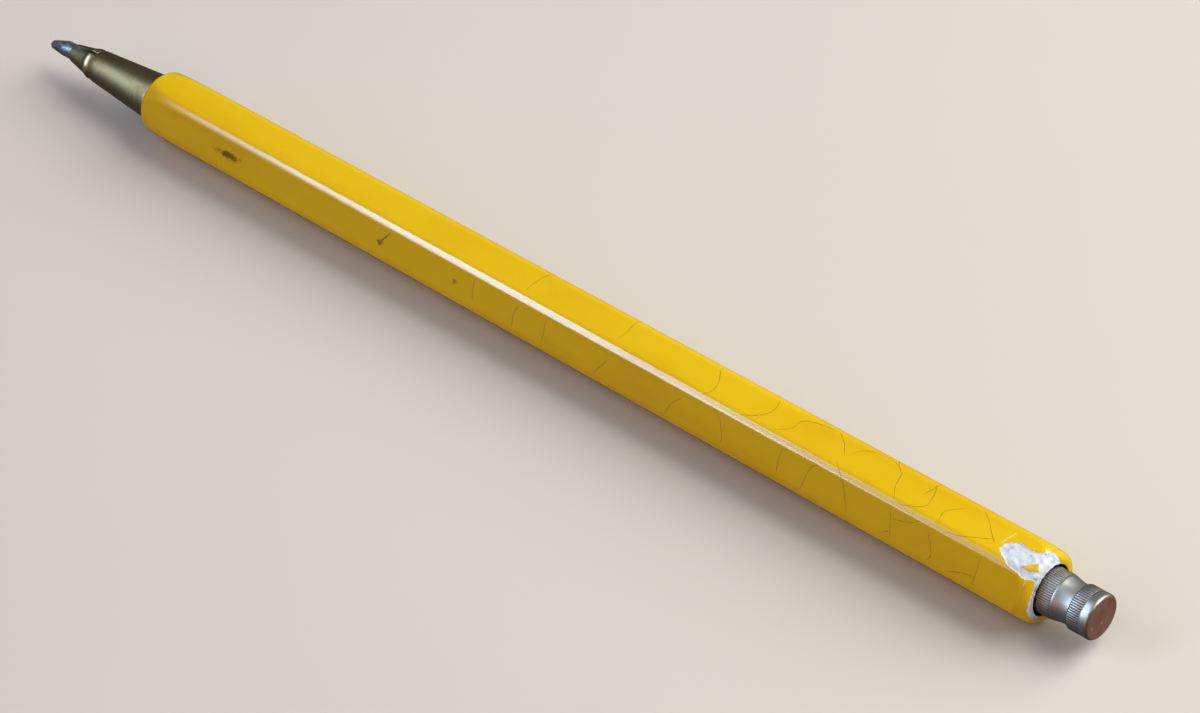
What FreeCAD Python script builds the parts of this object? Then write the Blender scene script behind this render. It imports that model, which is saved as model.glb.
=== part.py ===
import FreeCAD, Part
import math
import os

# Hexagonal clutch pencil for a 2 mm lead, lying on one flat, in millimetres.
# X runs along the pencil: the lead points to -X and the push button to +X.
# Z is up, Z = 0 is the face the pencil lies on, and the origin is under its middle.

# ---- Overall sizes -------------------------------------------------------
TOTAL_LENGTH = 158.8        # tip of the lead to the face of the button
ACROSS_FLATS = 7.8          # width of the hexagon, flat to flat
LEAD_RADIUS = 1.0           # 2 mm lead
BARREL_LENGTH = 132.2       # lacquered hexagonal casing
BUTTON_STANDOUT = 6.1       # button face beyond the rear end of the casing

# ---- Casing --------------------------------------------------------------
CORNER_ROUND = 1.3          # rounding of the six long edges
CASING_BORE = 3.0           # radius of the round bore
FRONT_ROUND = 1.0           # turned shoulder beside the nose cone
FRONT_FADE = 5.6            # length over which the hexagon turns round at the front
REAR_ROUND = 1.0            # turned shoulder round the mouth
REAR_FADE = 2.4
MOUTH_RADIUS = 2.78         # opening in the lip that covers the end of the liner
MOUTH_LIP = 0.13            # thickness of that lip
MOUTH_ROUND = 0.06          # eased inner edge of the mouth
FRONT_FACE_RADIUS = 3.06    # outer edge of the narrow flat face at each end
REAR_FACE_RADIUS = 3.16
FADE_RADIUS = 4.31          # just outside the rounded corners

# ---- Clearances ----------------------------------------------------------
SEATED = 0.02               # between pieces that are pressed or screwed together
RUNNING = 0.03              # between pieces that slide
LEAD_CLEARANCE = 0.03       # closed jaws to lead

# ---- Tubes and bushes ----------------------------------------------------
LINER_WALL = 0.23
LINER_SETBACK = 0.15        # the liner stops just behind the lip of the mouth
LEAD_TUBE_OUTER = 1.5
LEAD_TUBE_BORE = 1.15
THREAD_RADIUS = 2.28        # nose cone shank, where it screws into the front bush
SHANK_LENGTH = 6.0
THREAD_RELIEF = 0.25        # depth of the undercut between the cone and its thread
RELIEF_WIDTH = 0.8
FRONT_BUSH_LENGTH = 12.2
FRONT_BUSH_WEB = 2.0        # inner shoulder that the spring pushes against
TUBE_HOLE = 1.65            # hole in washers and shoulders round the lead tube
GUIDE_LENGTH = 6.0
GUIDE_DEPTH = 23.4          # rear guide bush, measured in from the mouth

# ---- Nose cone and jaws --------------------------------------------------
CONE_LENGTH = 11.6
CONE_FRONT_RADIUS = 2.05
CONE_REAR_RADIUS = 2.95
CONE_MOUTH = 1.75           # opening that closes the jaws
CONE_BORE = 2.0             # wider bore where the collet sleeve runs
CONE_NARROW_LENGTH = 7.5
JAW_COUNT = 3
JAW_SLOT = 0.45             # width of the saw cut between two jaws
JAW_HEAD_RADIUS = 2.0
JAW_NOSE_RADIUS = 1.14
JAW_HEAD_LENGTH = 4.7       # from the face of the nose cone to the tip of the jaws
JAW_SEAT_DEPTH = 0.48       # how far the heads taper inside the mouth of the cone
JAW_LEG_OUTER = 1.4
JAW_LEG_BORE = 1.1
JAW_LEG_LENGTH = 13.5       # from the face of the nose cone back to the root
ROOT_GAP = 0.03             # at the root, where the real leg flexes
SLEEVE_OUTER = 1.9
SLEEVE_LENGTH = 6.5
TUBE_SOCKET = 5.0           # how far the lead tube enters the collet sleeve

# ---- Lead ----------------------------------------------------------------
LEAD_LENGTH = 112.0
LEAD_POINT_LENGTH = 2.6
LEAD_POINT_RADIUS = 0.5     # blunt, worn point

# ---- Return spring -------------------------------------------------------
SPRING_WIRE = 0.4
SPRING_MEAN_RADIUS = 2.1
SPRING_LENGTH = 20.0
SPRING_TURNS = 12
WASHER_THICKNESS = 0.4
WASHER_RADIUS = 2.6
COLLAR_LENGTH = 3.0
COLLAR_RADIUS = 2.45

# ---- Knurled sleeve and push button --------------------------------------
KNURL_RADIUS = 2.48         # crest radius of the front knurled band
SLEEVE_SKIRT_RADIUS = 2.2   # smooth part of the sleeve hidden in the barrel
SLEEVE_SKIRT = 10.5
FRONT_BAND = 4.48           # front knurled band, most of it inside the mouth
NECK_LENGTH = 1.94
NECK_REAR_RADIUS = 2.2
END_TUBE_SOCKET = 6.0
END_WEB = 1.0
SPIGOT_RADIUS = 1.6
SPIGOT_LENGTH = 8.9
SPIGOT_BORE = 1.27
SPIGOT_BORE_DEPTH = 7.5
BUTTON_RADIUS = 2.46
BUTTON_HEAD = 2.58
BUTTON_RIM = 0.3
RING_WIDTH = 0.5
RING_SECTION = 0.12
RING_OFFSET = 2.0           # from the front end of the spigot
RING_GAP_ANGLE = 40.0
POINTER_LENGTH = 6.4
POINTER_TEETH = 6           # cutting edges round the conical hole

# ---- Stations along X ----------------------------------------------------
AXIS_HEIGHT = ACROSS_FLATS / 2
TIP_X = -TOTAL_LENGTH / 2
FACE_X = TOTAL_LENGTH / 2
MOUTH_X = FACE_X - BUTTON_STANDOUT
CASING_FRONT_X = MOUTH_X - BARREL_LENGTH
CONE_FRONT_X = CASING_FRONT_X - CONE_LENGTH
JAW_ROOT_X = CONE_FRONT_X + JAW_LEG_LENGTH
JAW_TIP_X = CONE_FRONT_X - JAW_HEAD_LENGTH
SLEEVE_FRONT_X = JAW_ROOT_X + ROOT_GAP
BUSH_REAR_X = CASING_FRONT_X + FRONT_BUSH_LENGTH
SPRING_FRONT_X = BUSH_REAR_X + WASHER_THICKNESS + SEATED
SPRING_REAR_X = SPRING_FRONT_X + SPRING_LENGTH
COLLAR_X = SPRING_REAR_X + WASHER_THICKNESS + RUNNING
BUTTON_X = FACE_X - BUTTON_HEAD
SPIGOT_X = BUTTON_X - SPIGOT_LENGTH
BAND_X = BUTTON_X - NECK_LENGTH - FRONT_BAND
END_SLEEVE_X = BAND_X - SLEEVE_SKIRT
TUBE_REAR_X = END_SLEEVE_X + END_TUBE_SOCKET
TUBE_FRONT_X = SLEEVE_FRONT_X + SLEEVE_LENGTH - TUBE_SOCKET


# ---- Helpers -------------------------------------------------------------
def point(x, radius):
    """A point of a turned outline: a station along X and a radius."""
    return FreeCAD.Vector(x, 0, radius)


def turned(start, *steps):
    """Turn a closed outline about the pencil's axis.

    A step of two numbers is a straight line to that station and radius.
    A step of four is an arc: its middle point, then its end point.
    """
    edges = []
    here = point(*start)
    for step in steps + (start,):
        there = point(*step[-2:])
        if len(step) == 4:
            edges.append(Part.Arc(here, point(*step[:2]), there).toShape())
        elif (there - here).Length > 1e-6:
            edges.append(Part.LineSegment(here, there).toShape())
        here = there
    face = Part.Face(Part.Wire(edges))
    solid = face.revolve(FreeCAD.Vector(0, 0, 0), FreeCAD.Vector(1, 0, 0), 360)
    solid.translate(FreeCAD.Vector(0, 0, AXIS_HEIGHT))
    return solid


def ring(x, length, outer, inner, ease=0.0):
    """A plain ring, washer or tube, with its outer edges chamfered by ease."""
    return turned(
        (x, inner),
        (x, outer - ease),
        (x + ease, outer),
        (x + length - ease, outer),
        (x + length, outer - ease),
        (x + length, inner),
    )


def about_axis(shape, degrees):
    """Turn a shape about the pencil's axis, in place."""
    shape.rotate(FreeCAD.Vector(0, 0, AXIS_HEIGHT), FreeCAD.Vector(1, 0, 0), degrees)
    return shape


# ---- Barrel --------------------------------------------------------------
def hexagon_bar():
    """Hexagonal bar, a little longer than the casing, with rounded long edges and flats at +Z and -Z."""
    corner = ACROSS_FLATS / math.sqrt(3)
    start = CASING_FRONT_X - 1
    length = BARREL_LENGTH + 2
    points = []
    for i in range(7):
        angle = math.radians(60 * i)
        points.append(FreeCAD.Vector(start, corner * math.cos(angle), corner * math.sin(angle)))
    bar = Part.Face(Part.Wire(Part.makePolygon(points))).extrude(FreeCAD.Vector(length, 0, 0))
    long_edges = [edge for edge in bar.Edges if abs(edge.Length - length) < 0.001]
    bar = bar.makeFillet(CORNER_ROUND, long_edges).Solids[0]
    bar.translate(FreeCAD.Vector(0, 0, AXIS_HEIGHT))
    return bar


def barrel_casing():
    """The hexagonal bar with turned shoulders at both ends and a round bore."""
    flat = ACROSS_FLATS / 2
    beyond = FADE_RADIUS + 0.3
    front = CASING_FRONT_X
    rear = MOUTH_X
    envelope = turned(
        (front, CASING_BORE),
        (front, FRONT_FACE_RADIUS),
        (front + 0.29 * FRONT_ROUND, flat - 0.24 * FRONT_ROUND, front + FRONT_ROUND, flat + 0.02),
        (front + 0.45 * FRONT_FADE, flat + 0.22, front + FRONT_FADE, FADE_RADIUS),
        (front + FRONT_FADE, beyond),
        (rear - REAR_FADE, beyond),
        (rear - REAR_FADE, FADE_RADIUS),
        (rear - 0.62 * REAR_FADE, flat + 0.26, rear - REAR_ROUND, flat + 0.02),
        (rear - 0.26 * REAR_ROUND, flat - 0.23 * REAR_ROUND, rear, REAR_FACE_RADIUS),
        (rear, MOUTH_RADIUS + MOUTH_ROUND),
        (rear - 0.3 * MOUTH_ROUND, MOUTH_RADIUS + 0.3 * MOUTH_ROUND, rear - MOUTH_ROUND, MOUTH_RADIUS),
        (rear - MOUTH_LIP, MOUTH_RADIUS),
        (rear - MOUTH_LIP, CASING_BORE),
    )
    return hexagon_bar().common(envelope)


def barrel_liner():
    """Thin brass tube that lines the casing and carries the bushes."""
    outer = CASING_BORE - SEATED
    return ring(CASING_FRONT_X, BARREL_LENGTH - LINER_SETBACK, outer, outer - LINER_WALL)


def liner_bore():
    return CASING_BORE - SEATED - LINER_WALL


def front_bush():
    """Threaded bush in the front of the liner, with a shoulder behind for the spring."""
    thread = THREAD_RADIUS + SEATED
    outer = liner_bore() - SEATED
    front = CASING_FRONT_X
    web = BUSH_REAR_X - FRONT_BUSH_WEB
    return turned(
        (front, thread),
        (front, outer),
        (BUSH_REAR_X, outer),
        (BUSH_REAR_X, TUBE_HOLE),
        (web, TUBE_HOLE),
        (web - 0.4, thread),
    )


def nose_cone():
    """Turned cone with a stepped bore and a shank that screws into the front bush."""
    front = CONE_FRONT_X
    rear = CASING_FRONT_X - SEATED
    step = front + CONE_NARROW_LENGTH
    shank_end = rear + SHANK_LENGTH
    return turned(
        (front, CONE_MOUTH),
        (front, CONE_FRONT_RADIUS - 0.1),
        (front + 0.03, CONE_FRONT_RADIUS - 0.03, front + 0.1, CONE_FRONT_RADIUS + 0.01),
        (rear - 0.12, CONE_REAR_RADIUS),
        (rear - 0.03, CONE_REAR_RADIUS - 0.03, rear, CONE_REAR_RADIUS - 0.12),
        (rear, THREAD_RADIUS - THREAD_RELIEF),
        (rear + RELIEF_WIDTH, THREAD_RADIUS - THREAD_RELIEF),
        (rear + RELIEF_WIDTH + THREAD_RELIEF, THREAD_RADIUS),
        (shank_end - 0.2, THREAD_RADIUS),
        (shank_end, THREAD_RADIUS - 0.2),
        (shank_end, CONE_BORE),
        (step, CONE_BORE),
        (step - 0.4, CONE_MOUTH),
    )


def rear_guide_bush():
    """Bush near the rear that keeps the lead tube on the axis."""
    start = MOUTH_X - GUIDE_DEPTH - GUIDE_LENGTH
    return ring(start, GUIDE_LENGTH, liner_bore() - SEATED, LEAD_TUBE_OUTER + 2 * RUNNING, 0.2)


# ---- Spring and what it pushes on ----------------------------------------
def spring_seat_washer():
    return ring(BUSH_REAR_X + SEATED, WASHER_THICKNESS, WASHER_RADIUS, TUBE_HOLE, 0.05)


def spring_washer():
    """Loose washer between the spring and the collar: it lets the lead tube turn."""
    return ring(SPRING_REAR_X, WASHER_THICKNESS, COLLAR_RADIUS, TUBE_HOLE, 0.05)


def spring_collar():
    """Collar fixed on the lead tube, which takes the push of the spring."""
    return ring(COLLAR_X, COLLAR_LENGTH, COLLAR_RADIUS, LEAD_TUBE_OUTER + SEATED, 0.25)


def return_spring():
    """Coil spring round the lead tube, between the two washers."""
    height = SPRING_LENGTH - SPRING_WIRE - 2 * SEATED
    path = Part.makeHelix(height / SPRING_TURNS, height, SPRING_MEAN_RADIUS)
    start = FreeCAD.Vector(SPRING_MEAN_RADIUS, 0, 0)
    section = Part.Wire(Part.makeCircle(SPRING_WIRE / 2, start, FreeCAD.Vector(0, 1, 0)))
    coil = Part.Wire(path.Edges).makePipeShell([section], True, True)
    coil.rotate(FreeCAD.Vector(0, 0, 0), FreeCAD.Vector(0, 1, 0), 90)
    coil.translate(FreeCAD.Vector(SPRING_FRONT_X + SEATED + SPRING_WIRE / 2, 0, AXIS_HEIGHT))
    return coil


# ---- Clutch --------------------------------------------------------------
def lead_tube():
    """Long tube that stores the lead and joins the clutch to the button."""
    start = TUBE_FRONT_X + SEATED
    return ring(start, TUBE_REAR_X - SEATED - start, LEAD_TUBE_OUTER, LEAD_TUBE_BORE)


def collet_sleeve():
    """Root of the clutch, screwed on the front of the lead tube."""
    start = SLEEVE_FRONT_X
    end = start + SLEEVE_LENGTH
    socket = end - TUBE_SOCKET
    grip = LEAD_TUBE_OUTER + SEATED
    return turned(
        (start, JAW_LEG_BORE),
        (start, JAW_LEG_OUTER),
        (start + 0.5, SLEEVE_OUTER),
        (end - 0.15, SLEEVE_OUTER),
        (end, SLEEVE_OUTER - 0.15),
        (end, grip),
        (socket, grip),
        (socket, JAW_LEG_BORE),
    )


def jaw_ring():
    """All the jaws before they are sawn apart: conical heads on thin springy legs."""
    grip = LEAD_RADIUS + LEAD_CLEARANCE
    mouth = CONE_FRONT_X
    seat = CONE_MOUTH - RUNNING
    head = JAW_HEAD_RADIUS
    return turned(
        (JAW_TIP_X, grip),
        (JAW_TIP_X, JAW_NOSE_RADIUS - 0.06),
        (JAW_TIP_X + 0.03, JAW_NOSE_RADIUS - 0.01, JAW_TIP_X + 0.1, JAW_NOSE_RADIUS + 0.03),
        (mouth - 1.15, head - 0.17),
        (mouth - 0.78, head, mouth - 0.42, head - 0.06),
        (mouth, seat),
        (mouth + JAW_SEAT_DEPTH, JAW_LEG_OUTER),
        (JAW_ROOT_X, JAW_LEG_OUTER),
        (JAW_ROOT_X, JAW_LEG_BORE),
        (mouth + JAW_SEAT_DEPTH, JAW_LEG_BORE),
        (mouth + 0.1, grip),
    )


def jaws():
    """The jaws, in order round the axis, with one saw cut at the top."""
    ring_of_jaws = jaw_ring()
    reach = JAW_HEAD_RADIUS + 1
    length = JAW_ROOT_X - JAW_TIP_X + 2
    for i in range(JAW_COUNT):
        corner = FreeCAD.Vector(JAW_TIP_X - 1, -JAW_SLOT / 2, AXIS_HEIGHT)
        cut = Part.makeBox(length, JAW_SLOT, reach, corner)
        ring_of_jaws = ring_of_jaws.cut(about_axis(cut, 360 * i / JAW_COUNT))
    return sorted(ring_of_jaws.Solids, key=jaw_angle)


def jaw_angle(jaw):
    """Angle of a jaw round the axis, from +Y towards +Z."""
    centre = jaw.CenterOfMass
    return math.degrees(math.atan2(centre.z - AXIS_HEIGHT, centre.y)) % 360


def lead():
    """The 2 mm lead with its blunt, worn point."""
    start = TIP_X
    shoulder = start + LEAD_POINT_LENGTH
    tip = LEAD_POINT_RADIUS
    return turned(
        (start, 0),
        (start + 0.11, tip * 0.66, start + 0.36, tip + 0.06),
        (shoulder, LEAD_RADIUS),
        (start + LEAD_LENGTH, LEAD_RADIUS),
        (start + LEAD_LENGTH, 0),
    )


# ---- Rear end ------------------------------------------------------------
def tube_end_sleeve():
    """Knurled sleeve on the rear of the lead tube, with a necked end that holds the button."""
    start = END_SLEEVE_X
    stop = TUBE_REAR_X
    neck = BUTTON_X - NECK_LENGTH
    end = BUTTON_X - SEATED
    neck_start = KNURL_RADIUS - 0.05
    return turned(
        (start, LEAD_TUBE_OUTER + SEATED),
        (start, SLEEVE_SKIRT_RADIUS - 0.2),
        (start + 0.2, SLEEVE_SKIRT_RADIUS),
        (BAND_X, SLEEVE_SKIRT_RADIUS),
        (BAND_X + 0.2, KNURL_RADIUS),
        (neck - 0.08, KNURL_RADIUS),
        (neck, neck_start),
        (neck + 0.45 * NECK_LENGTH, NECK_REAR_RADIUS + 0.06, end, NECK_REAR_RADIUS),
        (end, SPIGOT_RADIUS + RUNNING),
        (stop + END_WEB, SPIGOT_RADIUS + RUNNING),
        (stop + END_WEB, LEAD_TUBE_BORE),
        (stop, LEAD_TUBE_BORE),
        (stop, LEAD_TUBE_OUTER + SEATED),
    )


def push_button():
    """Knurled button head on a hollow spigot that pushes into the sleeve."""
    groove = SPIGOT_X + RING_OFFSET
    groove_floor = SPIGOT_RADIUS - RING_SECTION - SEATED
    bore_end = SPIGOT_X + SPIGOT_BORE_DEPTH
    rim = BUTTON_RIM
    return turned(
        (SPIGOT_X, SPIGOT_BORE),
        (SPIGOT_X, SPIGOT_RADIUS - 0.1),
        (SPIGOT_X + 0.1, SPIGOT_RADIUS),
        (groove, SPIGOT_RADIUS),
        (groove, groove_floor),
        (groove + RING_WIDTH + 2 * SEATED, groove_floor),
        (groove + RING_WIDTH + 2 * SEATED, SPIGOT_RADIUS),
        (BUTTON_X, SPIGOT_RADIUS),
        (BUTTON_X, BUTTON_RADIUS - 0.06),
        (BUTTON_X + 0.06, BUTTON_RADIUS),
        (FACE_X - rim, BUTTON_RADIUS),
        (FACE_X - 0.29 * rim, BUTTON_RADIUS - 0.29 * rim, FACE_X, BUTTON_RADIUS - rim),
        (FACE_X, 0),
        (bore_end + 0.5, 0),
        (bore_end, SPIGOT_BORE),
    )


def button_snap_ring():
    """Split spring ring in the spigot's groove, which holds the button in by friction."""
    outer = SPIGOT_RADIUS
    start = SPIGOT_X + RING_OFFSET + SEATED
    full = ring(start, RING_WIDTH, outer, outer - RING_SECTION)
    gap = outer * math.sin(math.radians(RING_GAP_ANGLE / 2))
    corner = FreeCAD.Vector(start - 1, -gap, AXIS_HEIGHT)
    return full.cut(Part.makeBox(RING_WIDTH + 2, 2 * gap, 2 * outer, corner))


def lead_pointer():
    """Steel pointer in the button's spigot: a conical hole with cutting grooves."""
    start = SPIGOT_X + 0.1
    outer = SPIGOT_BORE - SEATED
    depth = POINTER_LENGTH * 0.7
    mouth = LEAD_RADIUS + 0.05
    body = turned(
        (start, mouth),
        (start, outer),
        (start + POINTER_LENGTH, outer),
        (start + POINTER_LENGTH, 0),
        (start + depth, 0),
    )
    for i in range(POINTER_TEETH):
        corner = FreeCAD.Vector(start - 0.1, -0.08, AXIS_HEIGHT + mouth - 0.25)
        groove = Part.makeBox(depth * 0.4, 0.16, 0.32, corner)
        body = body.cut(about_axis(groove, 360 * i / POINTER_TEETH))
    return body


# ---- The pencil ----------------------------------------------------------
def pencil():
    """Every sub-part by name."""
    parts = {
        "barrel_casing": barrel_casing(),
        "barrel_liner": barrel_liner(),
        "front_bush": front_bush(),
        "nose_cone": nose_cone(),
        "rear_guide_bush": rear_guide_bush(),
        "spring_seat_washer": spring_seat_washer(),
        "return_spring": return_spring(),
        "spring_washer": spring_washer(),
        "spring_collar": spring_collar(),
        "lead_tube": lead_tube(),
        "collet_sleeve": collet_sleeve(),
        "lead": lead(),
        "tube_end_sleeve": tube_end_sleeve(),
        "push_button": push_button(),
        "button_snap_ring": button_snap_ring(),
        "lead_pointer": lead_pointer(),
    }
    for number, jaw in enumerate(jaws(), start=1):
        parts["jaw_%d" % number] = jaw
    return parts


os.makedirs("parts", exist_ok=True)
for name, shape in pencil().items():
    shape.exportStep("parts/%s.step" % name)
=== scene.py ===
import math

import bmesh
import bpy
import numpy as np
from bpy.props import FloatProperty, FloatVectorProperty, IntProperty, PointerProperty
from mathutils import Euler, Matrix, Vector


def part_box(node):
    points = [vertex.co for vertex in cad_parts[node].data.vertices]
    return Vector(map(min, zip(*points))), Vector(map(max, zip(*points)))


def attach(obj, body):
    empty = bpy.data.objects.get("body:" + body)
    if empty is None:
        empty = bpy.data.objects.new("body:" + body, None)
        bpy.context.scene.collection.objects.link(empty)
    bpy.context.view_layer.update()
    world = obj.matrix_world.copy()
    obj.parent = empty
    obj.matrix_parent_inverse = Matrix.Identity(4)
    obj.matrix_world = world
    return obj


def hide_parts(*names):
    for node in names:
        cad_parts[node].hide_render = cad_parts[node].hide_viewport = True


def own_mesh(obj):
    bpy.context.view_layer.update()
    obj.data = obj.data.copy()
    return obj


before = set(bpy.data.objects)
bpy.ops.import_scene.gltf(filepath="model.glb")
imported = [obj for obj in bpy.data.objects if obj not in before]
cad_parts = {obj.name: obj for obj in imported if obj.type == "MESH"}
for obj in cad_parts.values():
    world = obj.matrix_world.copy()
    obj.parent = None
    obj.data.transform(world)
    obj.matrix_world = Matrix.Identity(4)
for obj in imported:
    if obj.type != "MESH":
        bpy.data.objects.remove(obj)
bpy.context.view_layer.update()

bl_info = {
    "name": "Clutch Pencil",
    "version": (1, 0, 0),
    "blender": (4, 5, 0),
    "location": "View3D > Sidebar > Clutch Pencil",
    "description": "Hexagonal lacquered clutch pencil, piece by piece",
    "category": "Add Mesh",
}

MM = 0.001


def span(node):
    """First and last station of a CAD node along the pencil, in millimetres."""
    low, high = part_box(node)
    return low.x / MM, high.x / MM


# Stations along X and heights, read from the frame, in millimetres.
CASING_LOW, CASING_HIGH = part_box("barrel_casing")
AXIS = (CASING_LOW.z + CASING_HIGH.z) / 2 / MM
FLAT = (CASING_HIGH.z - CASING_LOW.z) / 2 / MM
CASING_FRONT, MOUTH = span("barrel_casing")
CONE_FRONT, SHANK_END = span("nose_cone")
JAW_TIP, JAW_ROOT = span("jaw_1")
LEAD_TIP, LEAD_END = span("lead")
SLEEVE_FRONT, SLEEVE_REAR = span("tube_end_sleeve")
SPIGOT_FRONT, BUTTON_FACE = span("push_button")
SPRING_FRONT = span("spring_seat_washer")[1]
SPRING_REAR = span("spring_washer")[0]


# ---- Settings ------------------------------------------------------------
def linear(hexa):
    """sRGB hex colour to linear RGBA."""
    channels = [int(hexa[i:i + 2], 16) / 255 for i in (1, 3, 5)]
    return [c / 12.92 if c <= 0.04045 else ((c + 0.055) / 1.055) ** 2.4 for c in channels] + [1.0]


def size(name, description, millimetres):
    """A size property, stored in metres."""
    return FloatProperty(name=name, description=description, default=millimetres * MM,
                         min=0.0, precision=5, unit="LENGTH")


def colour(name, description, hexa):
    """A colour property."""
    return FloatVectorProperty(name=name, description=description, default=linear(hexa),
                               size=4, min=0.0, max=1.0, subtype="COLOR")


class PENCIL_PG_barrel(bpy.types.PropertyGroup):
    corner: size("Corner rounding", "Radius of the six long edges", 1.3)
    bore: size("Bore", "Radius of the casing's bore", 3.0)
    opening: size("Opening", "Radius of the opening in the lip round the mouth", 2.78)
    front_fade: size("Front fade", "Length over which the edges fade out at the front", 5.6)
    rear_fade: size("Rear fade", "Length over which the edges soften at the rear", 2.4)
    shoulder: size("Shoulder", "Radius of the turned shoulders at both ends", 1.0)
    flow: size("Flow", "How softly the lacquer runs over the turned shoulders", 0.2)
    coat: size("Lacquer depth", "How far the bare ground coat lies below the lacquer", 0.12)
    crack: size("Crack width", "Width of a hairline crack in the lacquer", 0.05)
    seed: IntProperty(name="Crack seed", description="Seed of the cracks on the faces behind", default=7)


class PENCIL_PG_metal(bpy.types.PropertyGroup):
    slot: size("Saw cut", "Width of the cut between two jaws", 0.45)
    # Drawn coarse enough for the teeth to show as separate lines.
    teeth: IntProperty(name="Knurl teeth", description="Teeth round each knurled band", default=60)
    tooth: size("Tooth height", "Height of a knurl tooth", 0.06)
    wire: size("Spring wire", "Diameter of the return spring's wire", 0.4)
    turns: IntProperty(name="Spring turns", description="Working turns of the return spring", default=12)


class PENCIL_PG_colours(bpy.types.PropertyGroup):
    lacquer: colour("Lacquer", "Yellow nitro lacquer", "#E4BE16")
    aged: colour("Aged lacquer", "Ambered patches of the lacquer", "#D9AC0E")
    ground: colour("Ground coat", "White ground coat under the lacquer", "#D3DDEA")
    crack: colour("Cracks", "Dirt in the cracks of the lacquer", "#6B4A0C")
    bronze: colour("Bronze", "Olive patina of the nose cone and the jaws", "#998B66")
    brown: colour("Brown patina", "Darker patches of the patina", "#7C6A4C")
    nickel: colour("Nickel", "Dull nickel plate", "#B2B4B0")
    brass: colour("Bare brass", "Brass where the plate is worn through", "#8C7748")
    grime: colour("Grime", "Dirt in the knurls", "#66655C")
    # The blue in this grey is a painted reflection of bluish light.
    graphite: colour("Graphite", "Burnished lead", "#8A98AA")
    steel: colour("Steel", "Spring wire and pointer", "#8A8C90")


class PENCIL_PG_settings(bpy.types.PropertyGroup):
    barrel: PointerProperty(type=PENCIL_PG_barrel)
    metal: PointerProperty(type=PENCIL_PG_metal)
    colours: PointerProperty(type=PENCIL_PG_colours)


# ---- Outlines and meshes -------------------------------------------------
def bend(start, middle, end, steps):
    """Points of the arc from start through middle to end, without its start."""
    a, b, c = (np.array(p, float) for p in (start, middle, end))
    centre = np.linalg.solve(2 * np.array([b - a, c - a]), [b @ b - a @ a, c @ c - a @ a])
    first, through, last = (math.atan2(p[1] - centre[1], p[0] - centre[0]) for p in (a, b, c))
    sweep = (last - first) % (2 * math.pi)
    if (through - first) % (2 * math.pi) > sweep:
        sweep -= 2 * math.pi
    radius = math.hypot(*(a - centre))
    angles = [first + sweep * k / steps for k in range(1, steps + 1)]
    return [(centre[0] + radius * math.cos(t), centre[1] + radius * math.sin(t)) for t in angles]


def outline(start, *steps, arc=8):
    """Points of an outline: a step of two numbers is a line, one of four an arc's middle and end."""
    points = [start]
    for step in steps:
        if len(step) == 4:
            points += bend(points[-1], step[:2], step[2:], arc)
        else:
            points.append(step)
    return points


def finer(points, longest, closed=True):
    """The outline with no side longer than longest."""
    result = []
    ends = points[1:] + points[:1] if closed else points[1:]
    for (x0, r0), (x1, r1) in zip(points, ends):
        pieces = max(1, math.ceil(math.hypot(x1 - x0, r1 - r0) / longest))
        result += [(x0 + (x1 - x0) * k / pieces, r0 + (r1 - r0) * k / pieces) for k in range(pieces)]
    return result if closed else result + [points[-1]]


def new_object(name, vertices, faces, sharp=32):
    """A smooth-shaded object from points in millimetres; edges over an angle in degrees stay sharp."""
    mesh = bpy.data.meshes.new(name)
    mesh.from_pydata([[c * MM for c in v] for v in vertices], [], faces)
    bm = bmesh.new()
    bm.from_mesh(mesh)
    bmesh.ops.remove_doubles(bm, verts=bm.verts, dist=1e-8)
    bmesh.ops.delete(bm, geom=[edge for edge in bm.edges if not edge.link_faces], context="EDGES")
    bmesh.ops.recalc_face_normals(bm, faces=bm.faces)
    if bm.calc_volume(signed=True) < 0:
        bmesh.ops.reverse_faces(bm, faces=bm.faces)
    bm.to_mesh(mesh)
    bm.free()
    mesh.shade_smooth()
    mesh.set_sharp_from_angle(angle=math.radians(sharp))
    obj = bpy.data.objects.new(name, mesh)
    bpy.context.scene.collection.objects.link(obj)
    return obj


def on_ring(x, radius, angle):
    """A point at a radius and an angle round the pencil's axis, from +Y towards +Z."""
    return (x, radius * math.cos(angle), AXIS + radius * math.sin(angle))


def lathe(name, points, segments):
    """A piece turned about the pencil's axis from a closed outline."""
    vertices = []
    for k in range(segments):
        angle = 2 * math.pi * k / segments
        vertices += [on_ring(x, radius, angle) for x, radius in points]
    count = len(points)
    faces = []
    for k in range(segments):
        here = k * count
        there = (k + 1) % segments * count
        for i in range(count):
            j = (i + 1) % count
            faces.append((here + i, here + j, there + j, there + i))
    return new_object(name, vertices, faces)


def tube(name, path, radius, sides):
    """A closed round wire along a path of points in millimetres."""
    path = [Vector(p) for p in path]
    vertices = []
    side = Vector((1, 0, 0))
    for i, here in enumerate(path):
        ahead = (path[min(i + 1, len(path) - 1)] - path[max(i - 1, 0)]).normalized()
        side = (side - side.dot(ahead) * ahead).normalized()
        other = ahead.cross(side)
        for k in range(sides):
            angle = 2 * math.pi * k / sides
            vertices.append(here + radius * (math.cos(angle) * side + math.sin(angle) * other))
    faces = [tuple(range(sides)), tuple(range(len(vertices) - sides, len(vertices)))]
    for i in range(len(path) - 1):
        for k in range(sides):
            a = i * sides + k
            b = i * sides + (k + 1) % sides
            faces.append((a, b, b + sides, a + sides))
    return new_object(name, vertices, faces, sharp=60)


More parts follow.
